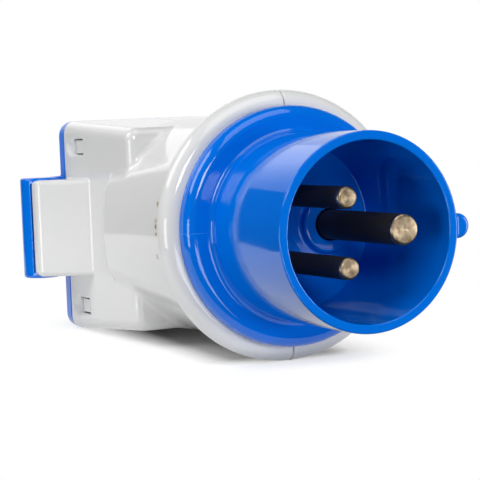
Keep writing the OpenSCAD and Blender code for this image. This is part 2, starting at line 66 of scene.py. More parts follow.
BLOCK_HALF, BLOCK_OUTER, BLOCK_IN, BLOCK_REAR_GAP = 12.6, -37.75, 3.4, 0.4
BLOCK_TOE, BLOCK_HEEL = (-66.0, -25.55), (-75.2, -37.75)
LUG_R, LUG_SPAN = 3.1, (4.6, 11.3)
WEB_SPAN, WEB_IN = (0.15, 1.75), 1.2
SPRING_R, SPRING_WIRE_R, SPRING_LEN, SPRING_HALF_TURNS = 2.1, 0.33, 7.26, 21
LID_FRONT, LID_BACK = -82.8, -87.6
TONGUE_T, TONGUE_IN = 2.8, 2.0
RECESS_R, RECESS_DEPTH, GASKET_SPAN = 20.2, 1.6, (21.2, 23.5)
WINDOW_X, WINDOW_LEN, WINDOW_H, WINDOW_Z, WINDOW_IN = -77.2, 6.8, 4.2, 20.9, 20.0
SCREWS_AT = [(-26.2, 19.3), (-26.2, -19.3), (-53.5, 19.3), (-53.5, -21.3)]
SCREW_BOSS_R, SCREW_BOSS_END, SCREW_HEAD_R, SCREW_SEAT = 4.2, -14.0, 2.9, 13.0
EARTH_AT = (PIN_CIRCLE_R, 0.0)
POLES_AT = [(PIN_CIRCLE_R * math.cos(a), PIN_CIRCLE_R * math.sin(a))
            for a in (2 * math.pi / 3, -2 * math.pi / 3)]

# Rooms inside the body: clearances, the corners of the box's rooms, and the rebate for the socket insert
FIT, SKIRT_ROOM, INNER_CORNER = 0.2, 0.5, 0.5
FRONT_ROOM, REAR_ROOM_FROM, ROOM_STEP = 17.0, 16.0, 1.0
REBATE_IN, REBATE_DEPTH = 0.3, 4.0

# Rounded edges and fillets of the mouldings
RIM_ROUND, MOUTH_ROUND, KEY_ROUND, KEY_FILLET = 0.35, 0.3, 0.9, 0.6
FLANGE_FRONT_ROUND, FLANGE_BACK_ROUND, FLANGE_FILLET = 2.6, 0.3, 1.3
BOSS_ROUND, FLOOR_FILLET = 0.7, 0.25
RING_FRONT_ROUND, RING_BACK_ROUND, RING_FILLET = 3.5, 1.4, 0.4
NECK_ROUND = 2.0
BOX_CORNER, BOX_FRONT_ROUND, BOX_FILLET = 3.2, 2.2, 1.2
BLOCK_ROUND, BLOCK_CHEEK_ROUND, BLOCK_FILLET = 0.7, 1.4, 0.5
WINDOW_CORNER, WINDOW_ROUND, SCREW_ROUND = 0.4, 0.25, 0.3
LID_CORNER, LID_BACK_ROUND, LID_FRONT_ROUND = 4.0, 1.6, 0.4
HOOD_ROUND, HOOD_FILLET, HOOD_SEAT_ROUND = 0.7, 0.5, 0.12

# Too fine for the CAD part: each side of the neck is flatter at its end and turns round towards the ring,
# and a shallow thumb dish lies around each snap window
FLAT_OUT, FLAT_TAPER, FLAT_CROWN = 28.0, 0.09, 80.0
FLAT_HALF, FLAT_SPREAD, FLAT_ROUND, FLAT_BLEND = 14.0, 0.12, 5.0, 1.6
DISH_LEN, DISH_H, DISH_DEPTH = 3.6, 2.6, 1.1

# Gaps of the real mouldings, closer than the CAD part's working clearances
SEAM, SEAM_ROUND = 0.05, 0.22
HOOD_GAP = 0.12

# Where one part of a field hands over to the next, just past a hidden edge
SPIGOT_BEHIND, NECK_PAST, MOUTH_PAST = 0.4, 1.0, 0.6
# Length of a degree on the hood's outside
MM_PER_DEGREE = 0.09


# Fields: negative inside, in millimetres

def cut_round(a, b, r):
    """Overlap of two fields with their shared edge rounded to radius r."""
    u, v = np.maximum(a + r, 0), np.maximum(b + r, 0)
    return np.minimum(-r, np.maximum(a, b)) + np.sqrt(u * u + v * v)


def join_round(a, b, r):
    """Union of two fields with a fillet of radius r where they meet."""
    u, v = np.maximum(r - a, 0), np.maximum(r - b, 0)
    return np.maximum(r, np.minimum(a, b)) - np.sqrt(u * u + v * v)


def blend(a, b, width):
    """Union of two fields that cross at a slight angle, with the crease smoothed away."""
    near = np.maximum(width - np.abs(a - b), 0)
    return np.minimum(a, b) - near * near / (4 * width)


def slab(v, low, high):
    """All that lies between two values of v."""
    return np.maximum(low - v, v - high)


def round_rect(a, b, half_a, half_b, r):
    """A rectangle with round corners in the plane of a and b."""
    p, q = np.abs(a) - half_a + r, np.abs(b) - half_b + r
    return np.hypot(np.maximum(p, 0), np.maximum(q, 0)) + np.minimum(np.maximum(p, q), 0) - r


def sleeve_field(x, y, z):
    """The blue plug moulding: sleeve, key rib, flange, floor with its bosses, spigot and skirt."""
    r = np.hypot(y, z)
    tube = cut_round(r - SLEEVE_R, x - SLEEVE_LEN, RIM_ROUND)
    key_top = SLEEVE_R + KEY_H - KEY_W / 2
    key = np.where(y > key_top, np.hypot(y - key_top, z), np.abs(z)) - KEY_W / 2
    key = np.maximum(cut_round(key, x - SLEEVE_LEN + KEY_SETBACK, KEY_ROUND), SLEEVE_R - KEY_ROOT - y)
    tube = join_round(tube, key, KEY_FILLET)
    flange = cut_round(r - FLANGE_R, x, FLANGE_FRONT_ROUND)
    flange = cut_round(flange, -FLANGE_T - x, FLANGE_BACK_ROUND)
    front = join_round(tube, flange, FLANGE_FILLET)
    groove = np.maximum(GROOVE_R - r, slab(x, GROOVE_BACK, GROOVE_FRONT))
    spigot = np.maximum(r - SPIGOT_R, -groove)
    solid = np.where(x > -FLANGE_T - SPIGOT_BEHIND, front, np.minimum(front, spigot))
    solid = np.maximum(solid, SKIRT_X - x)
    floor_and_bosses = x - FLOOR_X
    for at, pin_r in [(EARTH_AT, EARTH_R)] + [(p, POLE_R) for p in POLES_AT]:
        boss = np.hypot(y - at[0], z - at[1]) - pin_r - BOSS_RIM
        boss = cut_round(boss, x - FLOOR_X - BOSS_H, BOSS_ROUND)
        floor_and_bosses = join_round(floor_and_bosses, boss, BOSS_ROUND)
    beside_bay = join_round(SLEEVE_R - SLEEVE_WALL - r, floor_and_bosses, FLOOR_FILLET)
    solid = cut_round(solid, beside_bay, MOUTH_ROUND)
    behind_floor = np.maximum(r - SKIRT_R, x - FLOOR_X + FLOOR_T)
    return np.maximum(solid, -behind_floor)


def body_outside(x, y, z):
    """Outside of both white halves together: ring, straight neck with flattened sides, and the box."""
    zb, zn, from_end = z + BOX_DROP, z + NECK_DROP, x - NECK_END
    flat = cut_round(np.abs(y) - FLAT_OUT + FLAT_TAPER * from_end + zn * zn / (2 * FLAT_CROWN),
                     np.abs(zn) - FLAT_HALF - FLAT_SPREAD * from_end, FLAT_ROUND)
    neck = blend(np.hypot(y, zn) - NECK_R, flat, FLAT_BLEND)
    neck = np.maximum(cut_round(neck, -from_end, NECK_ROUND), x - RING_FRONT + NECK_IN_RING)
    ring = cut_round(np.hypot(y, z) - RING_R, x - RING_FRONT, RING_FRONT_ROUND)
    ring = cut_round(ring, RING_FRONT - RING_LEN - x, RING_BACK_ROUND)
    inset = BOX_DRAW * (x - RIM_X) / BOX_LEN
    box = round_rect(y, zb, BOX_W / 2 - inset, BOX_H / 2 - inset, BOX_CORNER)
    box = np.maximum(cut_round(box, x - BOX_FRONT, BOX_FRONT_ROUND), RIM_X - x)
    return join_round(join_round(neck, ring, RING_FILLET), box, BOX_FILLET)


def body_cavity(x, y, z):
    """The room inside the body: the spigot's bore with its lip, the neck, and the box up to its rebate."""
    r = np.hypot(y, z)
    zb = z + BOX_DROP
    bore = np.maximum(r - SPIGOT_R - FIT, SKIRT_X - SKIRT_ROOM - x)
    lip = np.maximum(GROOVE_R + FIT - r, slab(x, GROOVE_BACK + FIT, GROOVE_FRONT - FIT))
    bore = np.maximum(bore, -lip)
    hollow = np.maximum(r - NECK_R + NECK_DROP + WALL, slab(x, NECK_END - NECK_PAST, SKIRT_X))
    wide, high = BOX_W / 2 - BOX_DRAW - WALL, BOX_H / 2 - BOX_DRAW - WALL
    front = round_rect(y, zb, wide, high, INNER_CORNER)
    front = np.maximum(front, slab(x, BOX_FRONT - FRONT_ROOM, BOX_FRONT - WALL))
    rear = round_rect(y, zb, wide + ROOM_STEP, high + ROOM_STEP, INNER_CORNER)
    rear = np.maximum(rear, x - BOX_FRONT + REAR_ROOM_FROM)
    rebate = round_rect(y, zb, BOX_W / 2 - WALL - REBATE_IN, BOX_H / 2 - WALL - REBATE_IN, INNER_CORNER)
    rebate = np.maximum(rebate, x - RIM_X - REBATE_DEPTH)
    return np.minimum.reduce([bore, hollow, front, rear, rebate])


def windows(x, y, z):
    """Snap windows of the socket insert, with a shallow thumb dish around each in the box's side."""
    up = np.abs(z + BOX_DROP) - WINDOW_Z
    hole = round_rect(x - WINDOW_X - WINDOW_LEN / 2, up, WINDOW_LEN / 2, WINDOW_H / 2, WINDOW_CORNER)
    hole = np.maximum(hole, WINDOW_IN - np.abs(y))
    dish = np.sqrt(((x - WINDOW_X) / DISH_LEN) ** 2 + (up / DISH_H) ** 2
                   + ((np.abs(y) - BOX_W / 2) / DISH_DEPTH) ** 2)
    return np.minimum(hole, (dish - 1) * DISH_DEPTH)


def screw_rods(x, z, r):
    """Endless rods of this radius along the body screws."""
    return np.minimum.reduce([np.hypot(x - sx, z - sz) - r for sx, sz in SCREWS_AT])


def left_half(x, y, z):
    """The half with the hinge block, which carries the lid's pin between two lugs."""
    outside = body_outside(x, y, z)
    zb = z + BOX_DROP
    ramp = np.subtract(BLOCK_HEEL, BLOCK_TOE)
    ramp_normal = np.array([-ramp[1], ramp[0]]) / np.hypot(*ramp)
    block = (x - BLOCK_TOE[0]) * ramp_normal[0] + (y - BLOCK_TOE[1]) * ramp_normal[1]
    block = cut_round(block, BLOCK_OUTER - y, BLOCK_ROUND)
    block = np.maximum(np.maximum(block, y - (BLOCK_IN - BOX_W / 2)), RIM_X + BLOCK_REAR_GAP - x)
    block = cut_round(block, np.abs(zb) - BLOCK_HALF, BLOCK_CHEEK_ROUND)
    shell = join_round(outside, block, BLOCK_FILLET)
    shell = np.maximum(shell, RIM_X - x)
    to_hinge = np.hypot(x - HINGE_X, y - HINGE_Y)
    shell = cut_round(shell, HOOD_R + HOOD_GAP - to_hinge, HOOD_SEAT_ROUND)
    shell = np.maximum(shell, -body_cavity(x, y, z))
    boss = np.maximum(screw_rods(x, z, SCREW_BOSS_R), np.maximum(outside, SCREW_BOSS_END - y))
    shell = np.minimum(shell, boss)
    lugs = slab(np.abs(zb), *LUG_SPAN)
    eyes = np.maximum(to_hinge - LUG_R, lugs)
    webs = np.maximum(slab(x, HINGE_X + WEB_SPAN[0], HINGE_X + WEB_SPAN[1]),
                      slab(y, HINGE_Y, -BOX_W / 2 + WEB_IN))
    shell = np.minimum(shell, np.minimum(eyes, np.maximum(webs, lugs)))
    shell = cut_round(shell, -windows(x, y, z), WINDOW_ROUND)
    return cut_round(shell, y + SEAM, SEAM_ROUND)


def right_half(x, y, z):
    """The half that takes the body screws' heads."""
    outside = body_outside(x, y, z)
    shell = np.maximum(outside, -body_cavity(x, y, z))
    shell = np.minimum(shell, np.maximum(screw_rods(x, z, SCREW_BOSS_R), outside))
    heads = np.maximum(screw_rods(x, z, SCREW_HEAD_R), SCREW_SEAT - y)
    shell = cut_round(shell, -heads, SCREW_ROUND)
    shell = cut_round(shell, -windows(x, y, z), WINDOW_ROUND)
    return cut_round(shell, SEAM - y, SEAM_ROUND)


def lid_field(x, y, z):
    """The blue lid: plate, round hood over the hinge, and the recess and gasket groove inside."""
    zb = z + BOX_DROP
    plate = round_rect(y, zb, BOX_W / 2, BOX_H / 2, LID_CORNER)
    plate = cut_round(plate, LID_BACK - x, LID_BACK_ROUND)
    plate = cut_round(plate, x - LID_FRONT, LID_FRONT_ROUND)
    to_hinge = np.hypot(x - HINGE_X, y - HINGE_Y)
    turn = np.degrees(np.arctan2(-(x - HINGE_X), -(y - HINGE_Y)))
    cheeks = np.abs(zb) - HOOD_HALF
    hood = cut_round(to_hinge - HOOD_R, cheeks, HOOD_ROUND)
    tongue = cut_round(slab(x, LID_BACK, LID_BACK + TONGUE_T), cheeks, HOOD_ROUND)
    tongue = np.maximum(tongue, slab(y, HINGE_Y, -BOX_W / 2 + TONGUE_IN))
    solid = join_round(plate, np.minimum(hood, tongue), HOOD_FILLET)
    between = cheeks + HOOD_WALL
    core = np.maximum(to_hinge - HOOD_R + HOOD_WALL, between)
    mouth = np.maximum(-slab(turn, *HOOD_DEGREES) * MM_PER_DEGREE, between)
    mouth = np.maximum(mouth, to_hinge - HOOD_R - MOUTH_PAST)
    mouth = np.maximum(mouth, LID_BACK + TONGUE_T - x)
    r = np.hypot(y, zb)
    recess_floor = LID_FRONT - RECESS_DEPTH - x
    recess = np.maximum(r - RECESS_R, recess_floor)
    groove = np.maximum(slab(r, *GASKET_SPAN), recess_floor)
    return np.maximum.reduce([solid, -core, -mouth, -recess, -groove])


# Meshing

LAYERS_AT_ONCE = 16
SLOPE_STEP, SLIDE_REACH, SLIDES, TINY = 0.02, 0.2, 3, 1e-6


def spans(*parts):
    """Grid lines from (start, end, step) parts that follow on from each other."""
    lines = [np.linspace(a, b, max(2, round((b - a) / step) + 1))[:-1] for a, b, step in parts]
    return np.concatenate(lines + [[parts[-1][1]]])


def as_block(u, v, w):
    """Grid of length, width and height."""
    return u, v, w


def as_turned(u, v, w):
    """Grid of length, radius and angle about the plug axis."""
    return u, v * np.cos(w), v * np.sin(w)


def field_mesh(field, axes, grid_to_space=as_block):
    """Points, faces and normals of the field's zero surface: one point per crossed grid cell, slid onto it.
    A turned grid closes on itself in its third direction and is capped at its axis."""
    turned = grid_to_space is as_turned
    shape = tuple(len(a) for a in axes)
    values = np.empty(shape, np.float32)
    for i in range(0, shape[0], LAYERS_AT_ONCE):
        layers = slice(i, i + LAYERS_AT_ONCE)
        values[layers] = field(*grid_to_space(*np.meshgrid(axes[0][layers], axes[1], axes[2], indexing="ij")))
    inside = values < 0
    cells = tuple(n - 1 for n in shape)
    total = np.zeros(cells + (3,), np.float32)
    count = np.zeros(cells, np.int16)
    edges = []
    for axis in range(3):
        here, there = [slice(None)] * 3, [slice(None)] * 3
        here[axis], there[axis] = slice(0, -1), slice(1, None)
        a, b = values[tuple(here)], values[tuple(there)]
        crossed = (a < 0) != (b < 0)
        share = np.where(crossed, a / np.where(crossed, a - b, 1), 0)
        edges.append((crossed, inside[tuple(here)]))
        others = [k for k in range(3) if k != axis]
        for du in (0, 1):
            for dv in (0, 1):
                part = [slice(None)] * 3
                part[others[0]] = slice(du, du + cells[others[0]])
                part[others[1]] = slice(dv, dv + cells[others[1]])
                hit = crossed[tuple(part)]
                count += hit
                total[..., axis] += share[tuple(part)]
                total[..., others[0]] += hit * du
                total[..., others[1]] += hit * dv
    active = count > 0
    index = np.full(cells, -1, np.int64)
    index[active] = np.arange(active.sum())
    at = np.argwhere(active) + total[active] / count[active][:, None]
    on_grid = [np.interp(at[:, k], np.arange(shape[k]), axes[k]) for k in range(3)]
    points = np.stack(grid_to_space(*on_grid), 1)
    faces = []
    for axis, (crossed, starts_inside) in enumerate(edges):
        u, v = (axis + 1) % 3, (axis + 2) % 3
        keep = crossed.copy()
        for k in (u, v):
            for end in ((-1,) if turned and k == 2 else (0, -1)):
                border = [slice(None)] * 3
                border[k] = end
                keep[tuple(border)] = False
        edge = np.argwhere(keep)
        around = []
        for du, dv in ((0, 0), (1, 0), (1, 1), (0, 1)):
            cell = edge.copy()
            cell[:, u] -= du
            cell[:, v] -= dv
            around.append(index[tuple(cell.T)])
        quads = np.stack(around, 1)
        flip = ~starts_inside[tuple(edge.T)]
        quads[flip] = quads[flip][:, ::-1]
        faces += quads.tolist()
    if turned:
        crossed, starts_inside = edges[0]
        for i in np.flatnonzero(crossed[:, 0, 0]):
            cap = index[i, 0, :]
            faces.append((cap if starts_inside[i, 0, 0] else cap[::-1]).tolist())
    h, reach = SLOPE_STEP, SLIDE_REACH
    for step in range(SLIDES + 1):
        x, y, z = points.T
        slope = np.stack([field(x + h, y, z) - field(x - h, y, z),
                          field(x, y + h, z) - field(x, y - h, z),
                          field(x, y, z + h) - field(x, y, z - h)], 1) / (2 * h)
        length = np.sqrt(np.maximum((slope ** 2).sum(1), TINY))
        normals = slope / length[:, None]
        if step < SLIDES:
            points = points - normals * np.clip(field(x, y, z) / length, -reach, reach)[:, None]
    return points, faces, normals


def wire(path, r, sides=10):
    """Points, faces and normals of a round wire along a path that nowhere runs along Z."""
    path = np.array(path, float)
    along = np.gradient(path, axis=0)
    along /= np.linalg.norm(along, axis=1)[:, None]
    side = np.cross(along, (0, 0, 1))
    side /= np.linalg.norm(side, axis=1)[:, None]
    up = np.cross(side, along)
    turn = np.linspace(0, 2 * math.pi, sides, endpoint=False)[:, None]
    normals = side[:, None] * np.cos(turn) + up[:, None] * np.sin(turn)
    points = path[:, None] + r * normals
    last = (len(path) - 1) * sides
    faces = [[i + k, i + sides + k, i + sides + (k + 1) % sides, i + (k + 1) % sides]
             for i in range(0, last, sides) for k in range(sides)]
    faces += [list(range(sides)), list(range(last, last + sides))[::-1]]
    return points.reshape(-1, 3), faces, normals.reshape(-1, 3)


def skin(name, mesh_parts, node):
    """A smooth piece in place of a CAD node."""
    points, faces, normals = mesh_parts
    mesh = bpy.data.meshes.new(name)
    mesh.from_pydata((points * MM).tolist(), [], faces)
    mesh.polygons.foreach_set("use_smooth", [True] * len(mesh.polygons))
    mesh.normals_split_custom_set_from_vertices(normals.tolist())
    piece = bpy.data.objects.new(name, mesh)
    bpy.context.scene.collection.objects.link(piece)
    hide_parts(node)
    return piece


# Grid steps in millimetres, or degrees about the plug axis; the lines are closest where an edge is rounded
COARSE = 1.0
STEP = 0.45 * COARSE
MARGIN, SEAM_MARGIN = 1, 0.9

sleeve_lengths = spans((SKIRT_X - 0.5, -13.5, 0.6), (-13.5, -8.5, 0.4), (-8.5, -5, 0.5), (-5, 1.6, 0.2),
                       (1.6, 32, 1.3), (32, 33.3, 0.25), (33.3, SLEEVE_LEN + 0.16, 0.09))
sleeve_radii = spans((0, 16, 0.32), (16, 19.7, 0.3), (19.7, 20.5, 0.09), (20.5, 21.5, 0.2),
                     (21.5, 22.2, 0.09), (22.2, 25.7, 0.25), (25.7, FLANGE_R + 0.4, 0.2))
sleeve_angles = spans(*[(math.radians(a), math.radians(b), math.radians(step * COARSE))
                        for a, b, step in ((-12, 12, 0.7), (12, 348, 2.0))])
sleeve_grid = (sleeve_lengths, sleeve_radii, sleeve_angles)
plug_sleeve = skin("plug_sleeve_skin", field_mesh(sleeve_field, sleeve_grid, as_turned),
                   "plug_sleeve")

body_lengths = spans((RIM_X - MARGIN, -62, STEP), (-62, -10.4, 0.6 * COARSE),
                     (-10.4, RING_FRONT + MARGIN, 0.3 * COARSE))
body_heights = spans((-RING_R - MARGIN, RING_R + MARGIN, STEP))
left_grid = (body_lengths, spans((BLOCK_OUTER - MARGIN, SEAM_MARGIN, STEP)), body_heights)
right_grid = (body_lengths, spans((-SEAM_MARGIN, RING_R + MARGIN, STEP)), body_heights)
body_left = skin("body_left_skin", field_mesh(left_half, left_grid), "body_half_left")
body_right = skin("body_right_skin", field_mesh(right_half, right_grid), "body_half_right")

lid_grid = (spans((LID_BACK - MARGIN, HINGE_X + HOOD_R + MARGIN, 0.4 * COARSE)),
            spans((HINGE_Y - HOOD_R - MARGIN, BOX_W / 2 + MARGIN, STEP)),
            spans((-BOX_H / 2 - BOX_DROP - MARGIN, BOX_H / 2 - BOX_DROP + MARGIN, STEP)))
lid = skin("lid_skin", field_mesh(lid_field, lid_grid), "lid")

# The spring's coil winds along the hinge, and a leg reaches out from each end, one into the block and one
# towards the lid
BLOCK_LEG = (-0.1, 4.6, 0), (-0.1, 1.5, 0)
LID_LEG = (0.3, 1.5, 0), (0.3, 6.8, 0)
STILL_END, POINTS_PER_HALF_TURN = 0.4, 12
half_turns = np.linspace(0, SPRING_HALF_TURNS, POINTS_PER_HALF_TURN * SPRING_HALF_TURNS + 1)
coil = np.stack([HINGE_X + SPRING_R * np.cos(math.pi * half_turns),
                 HINGE_Y - SPRING_R * np.sin(math.pi * half_turns),
                 SPRING_LEN * (half_turns / SPRING_HALF_TURNS - 0.5) - BOX_DROP], 1)
spring_path = [*(coil[0] + np.array(BLOCK_LEG)), *coil, *(coil[-1] + np.array(LID_LEG))]
lid_spring = skin("lid_spring_wire", wire(spring_path, SPRING_WIRE_R), "lid_spring")
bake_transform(lid_spring)
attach(lid, "lid")
for piece in (plug_sleeve, body_left, body_right):
    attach(piece, "adapter")


# Materials

def linear(hex_colour):
    """An sRGB hex colour as linear RGBA."""
    parts = [int(hex_colour[i:i + 2], 16) / 255 for i in (1, 3, 5)]
    return tuple(c / 12.92 if c <= 0.04045 else ((c + 0.055) / 1.055) ** 2.4 for c in parts) + (1.0,)


def per(size):
    """The texture scale that gives features of this size in millimetres."""
    return 1 / (size * MM)


def add(tree, kind, inputs=(), out=None, **settings):
    """Adds a node, sets its settings, sets or links its inputs, and gives the output of this name,
    or else the first in use."""
    n = tree.nodes.new(kind)
    for key, value in settings.items():
        setattr(n, key, value)
    for key, value in dict(inputs).items():
        if isinstance(value, bpy.types.NodeSocket):
            tree.links.new(value, n.inputs[key])
        else:
            n.inputs[key].default_value = value
    return n.outputs[out] if out else next((o for o in n.outputs if o.enabled), None)


def new_material(name):
    """An empty material, its node tree, and the place on the object in metres."""
    m = bpy.data.materials.new(name)
    m.use_nodes = True
    m.node_tree.nodes.clear()
    return m, m.node_tree, add(m.node_tree, "ShaderNodeTexCoord", out="Object")


def set_surface(tree, inputs):
    """Ends a material in one surface with these inputs."""
    shader = add(tree, "ShaderNodeBsdfPrincipled", inputs)
    add(tree, "ShaderNodeOutputMaterial", {"Surface": shader})


def blend_colours(tree, share, start, end):
    """A colour between two others, each a hex colour or the output of a node."""
    ends = {"A": start if isinstance(start, bpy.types.NodeSocket) else linear(start),
            "B": end if isinstance(end, bpy.types.NodeSocket) else linear(end)}
    return add(tree, "ShaderNodeMix", {"Factor": share, **ends}, data_type="RGBA")


# The painted highlight along the parting line: its half width, full and faded, how much of it shows, and
# where it sets in along Y
PARTING_HIGHLIGHT_HALF, PARTING_HIGHLIGHT_SHOWS = (0.05, 0.13), 0.5
PARTING_HIGHLIGHT_EDGE = (-22.5, -25.0)


def blue_polyamide():
    # Polyamide from a polished mould: deep even blue, near-mirror gloss with a slight waviness in the
    # reflections, and a painted highlight, a fine paler thread, along the mould's parting line across the
    # flange's edge.
    m, t, place = new_material("moulded_blue_polyamide")
    cloud = add(t, "ShaderNodeTexNoise", {"Vector": place, "Scale": per(14), "Detail": 3.0})
    colour = blend_colours(t, cloud, "#006ede", "#0074e6")
    x, y, z = [add(t, "ShaderNodeSeparateXYZ", {0: place}, out=axis) for axis in "XYZ"]
    # painted highlight: a paler line along the parting line at z = 0 on the flange's near edge
    off_line = add(t, "ShaderNodeMath", {0: z}, operation="ABSOLUTE")
    parting_highlight = add(t, "ShaderNodeMapRange", {"Value": off_line, "From Min": PARTING_HIGHLIGHT_HALF[0] * MM,
                                           "From Max": PARTING_HIGHLIGHT_HALF[1] * MM,
                                           "To Min": PARTING_HIGHLIGHT_SHOWS, "To Max": 0.0})
    on_flange = add(t, "ShaderNodeMapRange", {"Value": y, "From Min": PARTING_HIGHLIGHT_EDGE[0] * MM,
                                              "From Max": PARTING_HIGHLIGHT_EDGE[1] * MM})
    parting_highlight = add(t, "ShaderNodeMath", {0: parting_highlight, 1: on_flange}, operation="MULTIPLY")
    before_body = add(t, "ShaderNodeMath", {0: x, 1: -FLANGE_T * MM}, operation="GREATER_THAN")
    parting_highlight = add(t, "ShaderNodeMath", {0: parting_highlight, 1: before_body}, operation="MULTIPLY")
    colour = blend_colours(t, parting_highlight, colour, "#4d9cf5")
    ripple = add(t, "ShaderNodeTexNoise", {"Vector": place, "Scale": per(5), "Detail": 1.0})
    relief = add(t, "ShaderNodeBump", {"Height": ripple, "Strength": 1.0, "Distance": 0.006 * MM})
    handling = add(t, "ShaderNodeTexNoise", {"Vector": place, "Scale": per(9), "Detail": 4.0})
    gloss = add(t, "ShaderNodeMapRange", {"Value": handling, "From Min": 0.3, "From Max": 0.7,
                                          "To Min": 0.05, "To Max": 0.09})
    set_surface(t, {"Base Color": colour, "Roughness": gloss, "IOR": 1.5, "Normal": relief})
    return m


# Specks of old grease where the neck comes out behind the ring: place on the body and radius
GREASE = [((-20.3, -26.7, 6.2), 1.0), ((-19.9, -26.5, 7.6), 0.7), ((-20.2, -27.4, 2.4), 0.9),
          ((-20.0, -27.5, 1.0), 0.9), ((-19.8, -27.5, -0.8), 0.8), ((-20.9, -26.9, -6.2), 0.9)]
# Share of a speck's radius that is covered in full
GREASE_CORE = 0.3


def white_abs():
    # ABS from a polished mould: white with a faint warm cloud, a clear gloss that shows the edges of windows
    # and lamps, a very fine grain, and brown grease specks on the neck behind the ring.
    m, t, place = new_material("moulded_white_abs")
    cloud = add(t, "ShaderNodeTexNoise", {"Vector": place, "Scale": per(22), "Detail": 4.0})
    colour = blend_colours(t, cloud, "#dedfdf", "#e6e6e5")
    # the real grain is finer than a pixel, so it is drawn at 0.4 mm to show at all
    grain = add(t, "ShaderNodeTexNoise", {"Vector": place, "Scale": per(0.4), "Detail": 2.0})
    relief = add(t, "ShaderNodeBump", {"Height": grain, "Strength": 1.0, "Distance": 0.0004 * MM})
    smear = add(t, "ShaderNodeTexNoise", {"Vector": place, "Scale": per(0.9), "Detail": 3.0})
    grease = 0.0
    for spot, radius in GREASE:
        centre = Vector(spot) * MM
        away = add(t, "ShaderNodeVectorMath", {0: place, 1: centre}, out="Value", operation="DISTANCE")
        near = add(t, "ShaderNodeMapRange", {"Value": away, "From Min": GREASE_CORE * radius * MM,
                                             "From Max": radius * MM, "To Min": 1.0, "To Max": 0.0})
        grease = add(t, "ShaderNodeMath", {0: grease, 1: near}, operation="MAXIMUM")
    patchy = add(t, "ShaderNodeMapRange", {"Value": smear, "From Min": 0.35, "From Max": 0.6})
    grease = add(t, "ShaderNodeMath", {0: grease, 1: patchy}, operation="MULTIPLY")
    colour = blend_colours(t, grease, colour, "#a87f45")
    gloss = add(t, "ShaderNodeMapRange", {"Value": cloud, "From Min": 0.3, "From Max": 0.7,
                                          "To Min": 0.06, "To Max": 0.1})
    set_surface(t, {"Base Color": colour, "Roughness": gloss, "IOR": 1.5, "Normal": relief})
    return m


# Distance between the turned rings as drawn, and one in metres that is further than any pin's axis
RING_PITCH = 0.3
FAR = 1.0


def turned_brass():
    # Brass faced off on a lathe and dulled by handling: a greyish pale gold with darker stains, and rings
    # around each pin's axis that pull highlights into a bow tie. Real rings are about 0.08 mm apart; they are
    # drawn at 0.3 mm so that they show.
    m, t, place = new_material("turned_pale_brass")
    flat = add(t, "ShaderNodeVectorMath", {0: place, 1: (0.0, 1.0, 1.0)}, operation="MULTIPLY")
    from_axis = FAR
    for at in [EARTH_AT] + POLES_AT:
        axis = Vector((0, *at)) * MM
        away = add(t, "ShaderNodeVectorMath", {0: flat, 1: axis}, out="Value", operation="DISTANCE")
        from_axis = add(t, "ShaderNodeMath", {0: from_axis, 1: away}, operation="MINIMUM")
    turns = add(t, "ShaderNodeMath", {0: from_axis, 1: 2 * math.pi * per(RING_PITCH)}, operation="MULTIPLY")
    rings = add(t, "ShaderNodeMath", {0: turns}, operation="SINE")
    relief = add(t, "ShaderNodeBump", {"Height": rings, "Strength": 1.0, "Distance": 0.008 * MM})
    stain = add(t, "ShaderNodeTexNoise", {"Vector": place, "Scale": per(1.6), "Detail": 5.0,
                                          "Roughness": 0.65})
    patchy = add(t, "ShaderNodeMapRange", {"Value": stain, "From Min": 0.3, "From Max": 0.7})
    colour = blend_colours(t, patchy, "#6a5842", "#bfae94")
    gloss = add(t, "ShaderNodeMapRange", {"Value": stain, "From Min": 0.3, "From Max": 0.7,
                                          "To Min": 0.42, "To Max": 0.3})
    set_surface(t, {"Base Color": colour, "Metallic": 1.0, "Roughness": gloss, "Normal": relief})
    return m


def black_polyamide():
    # Polyamide tube pushed over the pins: near black, satin, with fine lengthwise rubbing from sockets.
    m, t, place = new_material("rubbed_black_polyamide")
    stretched = add(t, "ShaderNodeVectorMath", {0: place, 1: (0.06, 1.0, 1.0)}, operation="MULTIPLY")
    rubs = add(t, "ShaderNodeTexNoise", {"Vector": stretched, "Scale": per(0.5), "Detail": 4.0})
    colour = blend_colours(t, rubs, "#1c1a16", "#2a2721")
    gloss = add(t, "ShaderNodeMapRange", {"Value": rubs, "From Min": 0.3, "From Max": 0.7,
                                          "To Min": 0.58, "To Max": 0.72})
    set_surface(t, {"Base Color": colour, "Roughness": gloss, "IOR": 1.5})
    return m


# Roughness either way of a finish's own, and the height of its relief as a share of its mottle's size
GLOSS_SPREAD, RELIEF_SHARE = 0.08, 0.004


def inner_finish(name, dark, pale, mottle, roughness, metallic=0.0):
    """A finish for a piece inside: two close colours in a mottle of this size in millimetres, and a relief
    to match."""
    m, t, place = new_material(name)
    cloud = add(t, "ShaderNodeTexNoise", {"Vector": place, "Scale": per(mottle), "Detail": 4.0})
    colour = blend_colours(t, cloud, dark, pale)
    relief = add(t, "ShaderNodeBump", {"Height": cloud, "Strength": 1.0,
                                       "Distance": RELIEF_SHARE * mottle * MM})
    gloss = add(t, "ShaderNodeMapRange", {"Value": cloud, "To Min": roughness - GLOSS_SPREAD,
                                          "To Max": roughness + GLOSS_SPREAD})
    set_surface(t, {"Base Color": colour, "Metallic": metallic, "Roughness": gloss, "Normal": relief})
    return m


BLUE, WHITE = blue_polyamide(), white_abs()
# zinc plate on steel: cool grey, crystalline and half dull
ZINC = inner_finish("zinc_plated_steel", "#a9adb2", "#c6c9cc", 0.6, 0.35, 1.0)
for piece, finish in ((plug_sleeve, BLUE), (lid, BLUE), (body_left, WHITE), (body_right, WHITE),
                      (lid_spring, ZINC)):
    piece.data.materials.append(finish)

